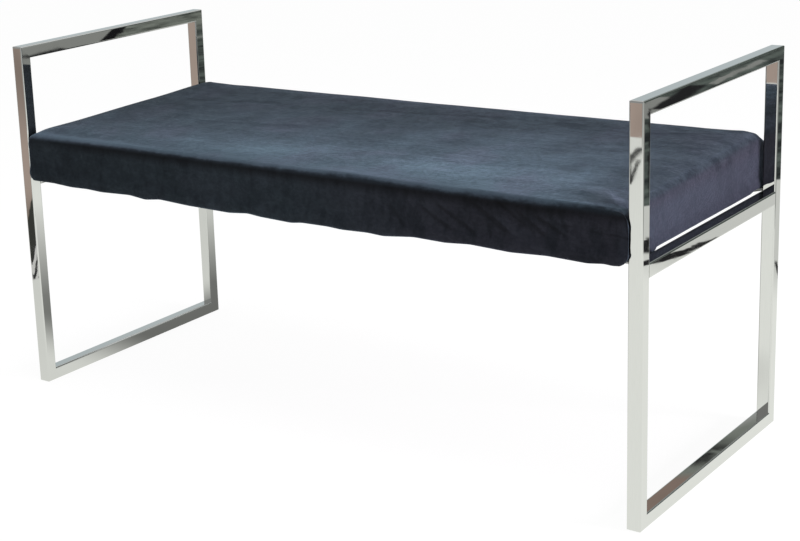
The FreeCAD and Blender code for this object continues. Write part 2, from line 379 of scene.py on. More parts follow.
def makeFloor():
    bpy.ops.mesh.primitive_plane_add(size=studio["floorSize"], location=(0, 0, -studio["floorDrop"]))
    floor = bpy.context.object
    floor.name = "studioFloor"
    bpy.ops.object.transform_apply(location=True, rotation=True, scale=True)
    look = bpy.data.materials.new("paleFloor")
    look.use_nodes = True
    tree = look.node_tree
    tree.nodes.clear()
    rays = addNode(tree, "LightPath").outputs
    geometry = addNode(tree, "NewGeometry").outputs
    place = geometry["Position"]
    px, py = splitVector(tree, place)[:2]
    wobble = addNoise(tree, place, *ground["wobble"]) - 0.5
    left, near = studio["sweep"]
    pastLeft = (left - px).atMost(studio["sweepBack"] - py)
    pastNear = near - py
    white = outdoorColour(tree, place, px, py, wobble)
    white = addMix(tree, addTracks(px, py, wobble, clutter), white, clutterColour)
    sweep = addGlow(tree, white, floorLight(px, py))
    colour, out = pastColour(tree, px, py, pastLeft, wobble)
    justPast = out.fade(past["dark"] + 0.03, past["dark"]) * pastNear.fade(0.01, 0.0)
    matte = addNode(tree, "BsdfDiffuse", Color=studio["floorColour"]).outputs[0]
    clear = addNode(tree, "BsdfTransparent").outputs[0]
    plain = addGlow(tree, (1.0, 1.0, 1.0), studio["floorGlow"])
    shown = blendShaders(tree, studio["floorWhite"], matte, plain)
    outside = pastNear.atLeast(pastLeft).fade(-studio["sweepBlur"], studio["sweepBlur"])
    border = blendShaders(tree, justPast, clear, addGlow(tree, colour))
    mirrored = blendShaders(tree, outside, sweep, border)
    byMirror = blendShaders(tree, rays["Is Glossy Ray"], matte, mirrored)
    byEye = blendShaders(tree, rays["Is Camera Ray"], byMirror, shown)
    seenBelow = addMath(tree, "MULTIPLY", geometry["Backfacing"], rays["Is Camera Ray"])
    addNode(tree, "OutputMaterial", blendShaders(tree, seenBelow, byEye, clear))
    floor.data.materials.append(look)


room = {  # colours in the mirrored room, and where they change: headings, slopes z, and parts of x and y
    "brown": ((0.47, 0.375, 0.325), (0.22, 0.175, 0.15)),
    "brownLow": (0.235, 0.190, 0.155),
    "brownLowTop": (-0.252, -0.228),
    "ahead": (0.36, 0.37, 0.365),
    "aheadStart": (-2.98, -2.92),
    "aheadEnd": (-2.12, -2.18),
    "aheadTop": (-0.03, -0.09),
    "hedge": ((0.022, 0.032, 0.030), (0.20, 0.25, 0.23)),
    "wall": ((0.36, 0.38, 0.37), (0.58, 0.60, 0.58)),
    "hedgeEnd": (0.76, 0.80),
    "pale": ((0.45, 0.52, 0.545), (0.61, 0.66, 0.67)),
    "toBack": (-0.08, 0.12),
    "toRight": (-0.05, 0.15),
    "grey": (0.22, 0.24, 0.215),
    "rod": (0.02, 0.02, 0.021),
    "rodsFrom": (0.376, 0.388),
    "pane": (0.36, 0.37, 0.355),
    "paneSlope": -2.2,
    "paneEdge": (-0.438, -0.430),
    "warm": ((0.22, 0.165, 0.14), (0.33, 0.25, 0.21)),
    "cool": (0.30, 0.32, 0.315),
    "coolFrom": (-0.38, -0.34),
    "ceiling": ((0.70, 0.72, 0.73), (0.92, 0.93, 0.92)),
    "ceilingFrom": (0.55, 0.62),
    "greyTop": (0.398, 0.404),
    "lowTop": (0.350, 0.362),
    "frontHigh": (0.30, 0.30, 0.295),
}

roomPatterns = {  # stretch, turn, scale, detail, roughness
    "stripes": ((1, 1, 0.10), (0, 0, 0), 22.0, 3.0, 0.6),
    "leaves": ((1, 1, 3.0), (0, 0, 0), 26.0, 4.0, 0.6),
    "rods": ((1, 1, 5.0), (0.3, 0, 0), 14.0, 4.0, 0.7),
    "wall": ((1, 1, 1), (0, 0, 0), 9.0, 2.0, 0.5),
    "pale": ((1, 1, 1), (0, 0, 0), 5.0, 2.0, 0.5),
    "ceiling": ((1, 1, 1), (0, 0, 0), 3.0, 1.0, 0.5),
}


def roomColour(tree, way, x, y, z):  # what polished metal sees: a light room with brown and dark parts
    heading = addMath(tree, "ARCTAN2", x, y)       # 0 straight back, 0.5 or so back and to the right
    patterns = {name: addPattern(tree, way, *pattern) for name, pattern in roomPatterns.items()}
    rods = patterns["rods"]
    toBack = y.fade(*room["toBack"])
    brown = addMix(tree, patterns["stripes"].fade(0.50, 0.68), *room["brown"])
    brown = addMix(tree, z.fade(*room["brownLowTop"]), room["brownLow"], brown)
    ahead = heading.fade(*room["aheadStart"]) * heading.fade(*room["aheadEnd"]) * z.fade(*room["aheadTop"])
    brown = addMix(tree, ahead, room["ahead"], brown)
    hedge = addMix(tree, patterns["leaves"].fade(0.46, 0.66), *room["hedge"])
    wall = addMix(tree, patterns["wall"], *room["wall"])
    garden = addMix(tree, heading.fade(*room["hedgeEnd"]), hedge, wall)
    pale = addMix(tree, patterns["pale"], *room["pale"])
    low = addMix(tree, toBack, brown, addMix(tree, x.fade(*room["toRight"]), pale, garden))
    manyRods = z.fade(*room["rodsFrom"]) * rods.fade(0.44, 0.54)
    grey = addMix(tree, manyRods.atLeast(rods.fade(0.60, 0.68, 0.0, 0.7)), room["grey"], room["rod"])
    grey = addMix(tree, (z * room["paneSlope"] - heading).fade(*room["paneEdge"]), grey, room["pane"])
    ceiling = addMix(tree, patterns["ceiling"], *room["ceiling"])
    warm = addMix(tree, rods, *room["warm"])
    warm = addMix(tree, heading.fade(*room["coolFrom"]), warm, room["cool"])
    high = addMix(tree, z.fade(*room["ceilingFrom"]), warm, ceiling)
    upper = addMix(tree, z.fade(*room["greyTop"]), grey, high)
    upper = addMix(tree, toBack, room["frontHigh"], upper)
    return addMix(tree, z.fade(*room["lowTop"]), low, upper)


def makeWorld():
    world = bpy.data.worlds.new("studioRoom")
    bpy.context.scene.world = world
    world.use_nodes = True
    tree = world.node_tree
    tree.nodes.clear()
    rays = addNode(tree, "LightPath").outputs
    way = addNode(tree, "TexCoord").outputs["Generated"]
    x, y, z = splitVector(tree, way)
    mirrorView = addNode(tree, "Background", roomColour(tree, way, x, y, z), 1.0).outputs[0]
    # what lights the cloth: soft and even, a little dimmer from the front
    soft = addMix(tree, y.fade(*studio["softTurn"]), *studio["softLight"])
    softView = addNode(tree, "Background", soft, studio["diffuseStrength"]).outputs[0]
    plain = addNode(tree, "Background", (1, 1, 1), 1.0).outputs[0]
    byMirror = blendShaders(tree, rays["Is Glossy Ray"], softView, mirrorView)
    addNode(tree, "OutputWorld", blendShaders(tree, rays["Is Camera Ray"], byMirror, plain))


lamps = (  # name, place, aims at, size, power, colour
    ("topLamp", (0.15, -0.25, 2.3), (0.1, -0.05, 0.4), 1.5, 17, (1.0, 1.0, 1.0)),
    ("endLamp", (2.5, 0.45, 0.44), (0.5, 0.0, 0.43), 0.9, 78, (1.0, 0.87, 0.99)),
)


def makeLamps():
    for name, place, aim, size, power, colour in lamps:
        bpy.ops.object.light_add(type="AREA", location=place)
        lamp = bpy.context.object
        lamp.name = name
        lamp.data.size = size
        lamp.data.energy = power
        lamp.data.color = colour
        away = np.array(aim) - np.array(place)
        flat = math.hypot(away[0], away[1])
        lamp.rotation_euler = (math.atan2(flat, -away[2]), 0, math.atan2(away[1], away[0]) - math.pi / 2)
        lamp.visible_glossy = False


makeFloor()
makeWorld()
makeLamps()
print("studio lit")


# shared effects

def newGroup(name, inputs, outputs):
    group = bpy.data.node_groups.new(name, "ShaderNodeTree")
    for side, sockets in (("INPUT", inputs), ("OUTPUT", outputs)):
        for socketName, kind, value in sockets:
            socket = group.interface.new_socket(name=socketName, in_out=side, socket_type="NodeSocket" + kind)
            if value is not None:
                socket.default_value = value
    return group, group.nodes.new("NodeGroupInput").outputs, group.nodes.new("NodeGroupOutput")


def mottleGroup():  # soft patches of two shades
    group, given, result = newGroup(
        "softMottle",
        [("Vector", "Vector", None), ("Scale", "Float", 10.0), ("Detail", "Float", 3.0),
         ("Low", "Color", (0, 0, 0, 1)), ("High", "Color", (1, 1, 1, 1))],
        [("Color", "Color", None), ("Mask", "Float", None)])
    mask = addNoise(group, given["Vector"], given["Scale"], given["Detail"]).fade(0.36, 0.64)
    setSockets(group, result, Color=addMix(group, mask, given["Low"], given["High"]), Mask=mask)
    return group


def timberGroup():  # long grain along X with darker late wood
    group, given, result = newGroup(
        "timberGrain",
        [("Vector", "Vector", None), ("Ring Scale", "Float", 60.0),
         ("Early", "Color", (0.8, 0.6, 0.4, 1)), ("Late", "Color", (0.5, 0.3, 0.2, 1))],
        [("Color", "Color", None), ("Height", "Float", None)])
    long = addMapping(group, given["Vector"], scale=(0.07, 1, 1))
    wave = addNode(group, "TexWave", Vector=long, Scale=given["Ring Scale"],
                   Distortion=5.0, Detail=2.0, Detail_Scale=1.2)
    wave.wave_type, wave.bands_direction = "BANDS", "Z"
    rings = Signal(group, wave.outputs["Fac"]) * addNoise(group, long, 9.0).fade(0.3, 0.7, 0.5, 1.0)
    fibre = addNoise(group, long, 900.0, 2.0, 0.6)
    blend = (rings * 0.7 + fibre * 0.35).fade(0.0, 1.0, soft=False)
    setSockets(group, result, Color=addMix(group, blend, given["Early"], given["Late"]), Height=blend)
    return group


def lineGroup():  # fine lines along X for metal
    group, given, result = newGroup(
        "fineLines",
        [("Vector", "Vector", None), ("Scale", "Float", 900.0), ("Stretch", "Float", 0.04)],
        [("Lines", "Float", None), ("Cloud", "Float", None)])
    x, y, z = splitVector(group, given["Vector"])
    drawnOut = addNode(group, "CombineXYZ", x * given["Stretch"], y, z).outputs[0]
    setSockets(group, result, Lines=addNoise(group, drawnOut, given["Scale"], 3.0, 0.6),
               Cloud=addNoise(group, given["Vector"], 28.0, 4.0, 0.6))
    return group


effects = {"mottle": mottleGroup(), "timber": timberGroup(), "lines": lineGroup()}


def addEffect(tree, name, vector, **sockets):
    node = tree.nodes.new("ShaderNodeGroup")
    node.node_tree = effects[name]
    setSockets(tree, node, Vector=vector, **sockets)
    return {socket.name: Signal(tree, socket) for socket in node.outputs}


def addBump(tree, height, strength, distance, normal=None):
    node = addNode(tree, "Bump", Strength=strength, Distance=distance, Height=height)
    if normal is not None:
        feed(tree, normal, node.inputs["Normal"])
    return node.outputs["Normal"]


def newMaterial(name, **sockets):
    look = bpy.data.materials.new(name)
    look.use_nodes = True
    tree = look.node_tree
    shader = setSockets(tree, tree.nodes["Principled BSDF"], **sockets)
    return look, tree, shader, addNode(tree, "TexCoord").outputs["Object"]


def darker(colour, share):
    return tuple(share * value for value in colour)


# materials

quarter = math.pi / 2
turnTo = {"x": (0, 0, 0), "y": (0, 0, quarter), "z": (0, quarter, 0)}   # lays a piece's length along X

tubePolish = {
    "colour": (0.70, 0.705, 0.69),
    "lineColour": 0.97,
    "lineScale": 1400.0,
    "lineStretch": 0.03,
    "lineDepth": (0.02, 0.00002),    # strength, distance
    "waveScale": 24.0,
    "waveStretch": (0.14, 1, 1),
    "waveHeight": 0.00009,
    "haze": (0.008, 0.035),
}


def polishedTube(axis):
    look, tree, shader, coords = newMaterial("polishedTube" + axis.upper(), Metallic=1.0)
    along = addMapping(tree, coords, turn=turnTo[axis])
    wave = addNoise(tree, addMapping(tree, along, tubePolish["waveStretch"]), tubePolish["waveScale"], 0.0)
    fine = addEffect(tree, "lines", along, Scale=tubePolish["lineScale"], Stretch=tubePolish["lineStretch"])
    inLines = darker(tubePolish["colour"], tubePolish["lineColour"])
    shape = addBump(tree, wave, 1.0, tubePolish["waveHeight"])
    setSockets(tree, shader, Roughness=fine["Cloud"].fade(0.35, 0.75, *tubePolish["haze"]),
               Base_Color=addMix(tree, fine["Lines"].fade(0.3, 0.7), inLines, tubePolish["colour"]),
               Normal=addBump(tree, fine["Lines"], *tubePolish["lineDepth"], shape))
    return look


def satinMetal(name, colour, roughness):
    look, tree, shader, coords = newMaterial(name, Metallic=1.0)
    brush = addEffect(tree, "lines", coords, Scale=1600.0, Stretch=0.02)
    setSockets(tree, shader, Roughness=brush["Cloud"].fade(0.3, 0.7, roughness * 0.8, roughness * 1.25),
               Base_Color=addMix(tree, brush["Lines"], darker(colour, 0.86), colour),
               Normal=addBump(tree, brush["Lines"], 0.2, 0.00003))
    return look


velvetLook = {
    "deep": (0.0090, 0.0128, 0.0170),
    "bright": (0.0275, 0.0370, 0.0450),
    # painted light: the top's brighter colour where it is painted lit
    "topLitColour": (0.058, 0.088, 0.121),
    "topLitShare": 0.60,
    "between": (0.006, 0.008, 0.012),
    "purple": (0.0290, 0.0282, 0.0395),
    # painted highlight on the corner seams
    "seamLitColour": (0.090, 0.115, 0.155),
    # painted highlight along the front fold
    "edge": (0.150, 0.195, 0.265),
    "topSheen": (0.540, 0.815, 1.000),
    "dullSheen": (0.460, 0.630, 0.810),
    "coolSheen": (0.62, 0.74, 1.0),
    "purpleSheen": (0.500, 0.565, 0.760),
    "endSheen": (0.350, 0.512, 0.690),
    "leastSheen": 0.27,
    "litSheen": 0.60,
    "inMetal": 0.35,                 # painted darker reflection: the cloth shows darker in polished metal
    # painted shade under the front fold, and in the groove beside the seams
    "foldShadeDepth": 0.66,
    "foldShadeLine": (0.250, 0.4655),    # the painted shade under the fold is measured from y at the front and z at the fold
    "foldShadeFray": (0.0012, 0.0026),   # how far fluff and nap shift its edge
    "seamShadeDepth": 0.45,
    "strokesInCrease": 0.3,
    "strokes": ((1.5, 1.0, 0.6), (0, 0.85, 0), 26.0, 5.0, 0.68),     # stretch, turn, scale, detail, roughness
    "flecks": ((0.7, 0.6, 1), (0, 0, 0.5), 120.0),
    "cool": ((1, 1, 1), (0, 0, 0), 9.0, 3.0),
    "bumps": ((0.18, 0.0007), (0.22, 0.0004), (0.30, 0.0004)),   # nap, fluff, pile: strength, distance
}

velvetMottle = {  # stretch, turn, scale, detail
    "cloud": ((1, 0.7, 1), (0, 0, 0), 7.0, 3.0),
    "nap": ((0.72, 0.95, 1.2), (0, 0, 0.10), 48.0, 5.0),
    "fluff": ((0.72, 0.95, 1.2), (0, 0, 0.10), 190.0, 4.0),
    "pile": ((1, 1, 1), (0, 0, 0), 900.0, 3.0),
}

velvetZones = {  # each from and to, and its least and most where they aren't 0 and 1
    "topHeight": (0.455, 0.467),         # z: the top is above, the panels below
    "topEnd": (0.575, 0.569),            # x
    "panelNap": (0.0, 1.0, 0.50, 1.0),   # the panels are more even than the top
    "litAcross": (0.31, -0.14),          # y: the painted light is brightest at the front
    "litSlant": (-0.75, -0.05, 0.55, 1.0),      # x - y
    "litRight": (0.575, 0.42, 0.44, 1.0),       # x
    "litLeft": (-0.46, -0.06, 0.70, 1.0),       # x
    "topLitHeight": (0.456, 0.466),     # z
    "crestFront": (-0.222, -0.240),      # y: the front fold
    "crestHeight": (0.456, 0.463),       # z
    "foldShadeNear": (0.0072, -0.0020),      # how far past the fold the painted shade begins and ends
    "foldShadeFar": (-0.0250, -0.0045),
    "foldShadeLeft": (-0.57, -0.40, 0.35, 1.0),     # x
    "foldShadeRise": ((0.44, 0.54, 0.0, 0.007), (0.33, 0.22, 0.0, 0.0030)),     # x: where it begins lower
    "seamLow": (0.380, 0.388),           # z
    "seamHigh": (0.467, 0.460),
    "seamLitReach": (0.0021, 0.0009),        # distance from the seam
    "seamShadeReach": ((0.0045, 0.0028), (0.0012, 0.0022)),
    "creaseShading": (-0.05, 0.95, 1.55, 0.55),
    "dimLeft": (-0.25, 0.05),            # x: the front panel is a little darker left of here
    "purple": (-0.12, 0.34, 0.0, 0.85),  # x
    "end": (0.560, 0.575),               # x: the right end panel
    "endHeight": (0.474, 0.440),         # z
    "endSheen": (0.23, -0.23, 0.14, 0.44),      # y: painted light, the end panel's sheen stronger toward the front
    # where the painted highlight along the front fold lies
    "edgeFront": (-0.185, -0.238),       # y
    "edgeRight": (0.40, 0.54, 0.22, 0.08),      # x
    "edgeLeft": (-0.22, -0.46, 0.0, 0.22),      # x
}


def paintedTopLight(x, y, cloud, nap, crest):  # painted light and sheen on the top: brightest at the front fold, least at the back left and the right end
    litTop = (y + nap * 0.025 + cloud * 0.11).fade(*velvetZones["litAcross"], soft=False)
    litTop = litTop * (x - y).fade(*velvetZones["litSlant"])
    litTop = litTop * x.fade(*velvetZones["litRight"]) * x.fade(*velvetZones["litLeft"])
    return (litTop ** 2.0).atLeast(crest)


def paintedFoldShade(x, y, z, nap, fluff):  # painted shade just under the front fold
    (front, fold), (byFluff, byNap) = velvetLook["foldShadeLine"], velvetLook["foldShadeFray"]
    past = y + front + (z - fold).atMost(0.0)
    for rise in velvetZones["foldShadeRise"]:
        past = past - x.fade(*rise)
    frayed = past + fluff * byFluff + nap * byNap
    foldShade = frayed.fade(*velvetZones["foldShadeNear"]) * frayed.fade(*velvetZones["foldShadeFar"])
    return foldShade * x.fade(*velvetZones["foldShadeLeft"])


def navyVelvet():
    look, tree, shader, coords = newMaterial(
        "navyVelvet", Roughness=0.82, Sheen_Weight=1.0, Sheen_Roughness=0.42, Specular_IOR_Level=0.18)
    cloud, nap, fluff, pile = (
        addEffect(tree, "mottle", addMapping(tree, coords, stretch, turn), Scale=scale, Detail=detail)["Mask"]
        for stretch, turn, scale, detail in velvetMottle.values())
    flecks = addPattern(tree, coords, *velvetLook["flecks"]).fade(0.66, 0.74)
    strokes = addPattern(tree, coords, *velvetLook["strokes"])
    x, y, z = splitVector(tree, coords)
    onTop = z.fade(*velvetZones["topHeight"]) * x.fade(*velvetZones["topEnd"])
    onEnd = x.fade(*velvetZones["end"]) * z.fade(*velvetZones["endHeight"])
    napped = (nap - 0.5) * onTop.fade(*velvetZones["panelNap"]) + 0.5
    crestHeight = z.fade(*velvetZones["crestHeight"])
    crest = y.fade(*velvetZones["crestFront"]) * crestHeight
    # painted light on the top, and painted shade just under the front fold
    litTop = paintedTopLight(x, y, cloud, nap, crest)
    foldShade = paintedFoldShade(x, y, z, nap, fluff)
    # painted highlight along the corner seams, with painted shade in the groove beside them
    seam = readLayer(tree, "insetX").atLeast(readLayer(tree, "insetY"))
    upright = z.fade(*velvetZones["seamLow"]) * z.fade(*velvetZones["seamHigh"])
    seamLit = seam.fade(*velvetZones["seamLitReach"]) * upright
    seamShadeOuter, seamShadeInner = velvetZones["seamShadeReach"]
    seamShade = seam.fade(*seamShadeOuter) * seam.fade(*seamShadeInner) * upright
    # painted shade in sunk creases and painted light on raised ones
    byStrokes = velvetLook["strokesInCrease"]
    creaseShading = readLayer(tree, "creaseShading") - byStrokes / 2 + strokes * byStrokes
    kept = (1.0 - foldShade * velvetLook["foldShadeDepth"]) * (1.0 - seamShade * velvetLook["seamShadeDepth"])
    kept = kept * creaseShading.fade(*velvetZones["creaseShading"])
    kept = kept * onTop.atLeast(x.fade(*velvetZones["dimLeft"])).fade(0.0, 1.0, 0.95, 1.0)
    # colour
    offTop = onTop.fade(0.0, 1.0, 1.0, 0.0)
    purple = x.fade(*velvetZones["purple"]) * offTop
    streaky = strokes.fade(0.44, 0.66) * onTop.fade(0.0, 1.0, 0.75, 0.0) * onEnd.fade(0.0, 1.0, 1.0, 0.25)
    # painted light: a brighter colour on the top toward the front fold
    topLitMix = litTop * z.fade(*velvetZones["topLitHeight"]) * velvetLook["topLitShare"]
    # painted highlight along the front fold, strongest at the left and faint at the right end
    edge = y.fade(*velvetZones["edgeFront"]) * crestHeight * x.fade(*velvetZones["edgeRight"])
    edge = edge + crest * x.fade(*velvetZones["edgeLeft"])
    shade = addMix(tree, napped, velvetLook["deep"], velvetLook["bright"])
    for share, colour in (
            (purple, "purple"), (streaky, "between"), (topLitMix, "topLitColour"),
            (fluff.fade(0.0, 1.0, 0.25, 0.0), "between"), (pile.fade(0.0, 1.0, 0.0, 0.30), "between"),
            (seamLit * 0.8, "seamLitColour"), (edge, "edge")):
        shade = addMix(tree, share, shade, velvetLook[colour])
    # painted darker reflection in polished metal, and the painted shade, take colour and sheen away
    inMetal = Signal(tree, addNode(tree, "LightPath").outputs["Is Glossy Ray"])
    left = inMetal.fade(0.0, 1.0, 1.0, velvetLook["inMetal"], soft=False) * kept
    # sheen, painted stronger on the lit top, along the fold, at the seams and toward the front of the end panel
    sheen = edge + litTop * velvetLook["litSheen"] + velvetLook["leastSheen"]
    sheen = sheen * napped.fade(0.0, 1.0, 0.94, 1.06) * fluff.fade(0.0, 1.0, 0.88, 1.10) + flecks * 0.10
    sheen = sheen + onEnd * y.fade(*velvetZones["endSheen"])
    tint = addMix(tree, litTop, velvetLook["dullSheen"], velvetLook["topSheen"])
    cool = addPattern(tree, coords, *velvetLook["cool"]).fade(0.46, 0.64, 0.0, 0.55)
    for share, colour in ((cool, "coolSheen"), (purple.atLeast(foldShade), "purpleSheen"), (onEnd, "endSheen")):
        tint = addMix(tree, share, tint, velvetLook[colour])
    normal = None
    for height, bump in zip((napped, fluff, pile), velvetLook["bumps"]):
        normal = addBump(tree, height, *bump, normal)
    setSockets(tree, shader, Base_Color=addMix(tree, left, (0.0, 0.0, 0.0), shade), Sheen_Tint=tint,
               Sheen_Weight=(sheen.atLeast(seamLit) * left).fade(0.0, 1.0, soft=False), Normal=normal)
    return look


def fibreCloth(name, low, high, scale, roughness, bump):
    look, tree, shader, coords = newMaterial(name, Roughness=roughness, Sheen_Weight=0.3)
    tangle = addEffect(tree, "mottle", coords, Scale=scale, Detail=5.0, Low=low, High=high)
    cloud = addEffect(tree, "mottle", coords, Scale=scale / 14, Detail=3.0)
    share = cloud["Mask"].fade(0.0, 1.0, 0.0, 0.25)
    setSockets(tree, shader, Base_Color=addMix(tree, share, tangle["Color"], darker(low, 0.8)),
               Normal=addBump(tree, tangle["Mask"], bump, 0.0005))
    return look


def sawnTimber(name, early, late, axis, ringScale):
    look, tree, shader, coords = newMaterial(name, Roughness=0.72)
    along = addMapping(tree, coords, turn=turnTo[axis])
    grain = addEffect(tree, "timber", along, Early=early, Late=late, Ring_Scale=ringScale)
    setSockets(tree, shader, Base_Color=grain["Color"], Normal=addBump(tree, grain["Height"], 0.25, 0.0004))
    return look


def paintNode(node, look):
    mesh = nodes[node].data
    if not mesh.materials:
        mesh.materials.append(look)
    for place in range(len(mesh.materials)):
        mesh.materials[place] = look


tubes = {axis: polishedTube(axis) for axis in ("y", "z")}
pine = {axis: sawnTimber("pineBatten" + axis.upper(), (0.72, 0.54, 0.33), (0.50, 0.31, 0.15), axis, 70.0)
        for axis in ("x", "y")}
birch = sawnTimber("birchPly", (0.74, 0.60, 0.42), (0.58, 0.43, 0.27), "x", 110.0)
tabSteel = satinMetal("tabSteel", (0.56, 0.565, 0.57), 0.34)
zinc = satinMetal("zincFixings", (0.68, 0.68, 0.66), 0.28)
wadding = fibreCloth("whiteWadding", (0.70, 0.70, 0.67), (0.88, 0.88, 0.86), 260.0, 0.95, 0.5)
foam = fibreCloth("seatFoam", (0.74, 0.66, 0.44), (0.88, 0.81, 0.62), 900.0, 0.9, 0.6)
dustCloth = fibreCloth("dustCloth", (0.012, 0.012, 0.013), (0.034, 0.034, 0.037), 420.0, 0.85, 0.35)
velvet = navyVelvet()

for side in ("left_", "right_"):
    for part in ("front_leg", "rear_leg"):
        paintNode(side + part, tubes["z"])
    for part in ("arm_rail", "seat_rail", "floor_rail"):
        paintNode(side + part, tubes["y"])
    for part in ("front_seat_tab", "rear_seat_tab"):
        paintNode(side + part, tabSteel)
    for part in ("end_batten", "cross_batten"):
        paintNode(side + part, pine["y"])
paintNode("middle_cross_batten", pine["y"])
paintNode("corner_blocks", pine["y"])
for node, look in {
    "front_frame_rail": pine["x"], "rear_frame_rail": pine["x"], "plywood_deck": birch,
    "front_apron_strip": birch, "foam_pad": foam, "fibre_wadding": wadding, "velvet_cover": velvet,
    "dust_cover": dustCloth, "cover_staples": zinc, "deck_screws": zinc, "seat_bolts": zinc,
    "bolt_washers": zinc, "threaded_inserts": zinc,
}.items():
    paintNode(node, look)
print("materials made")


# seat cushion

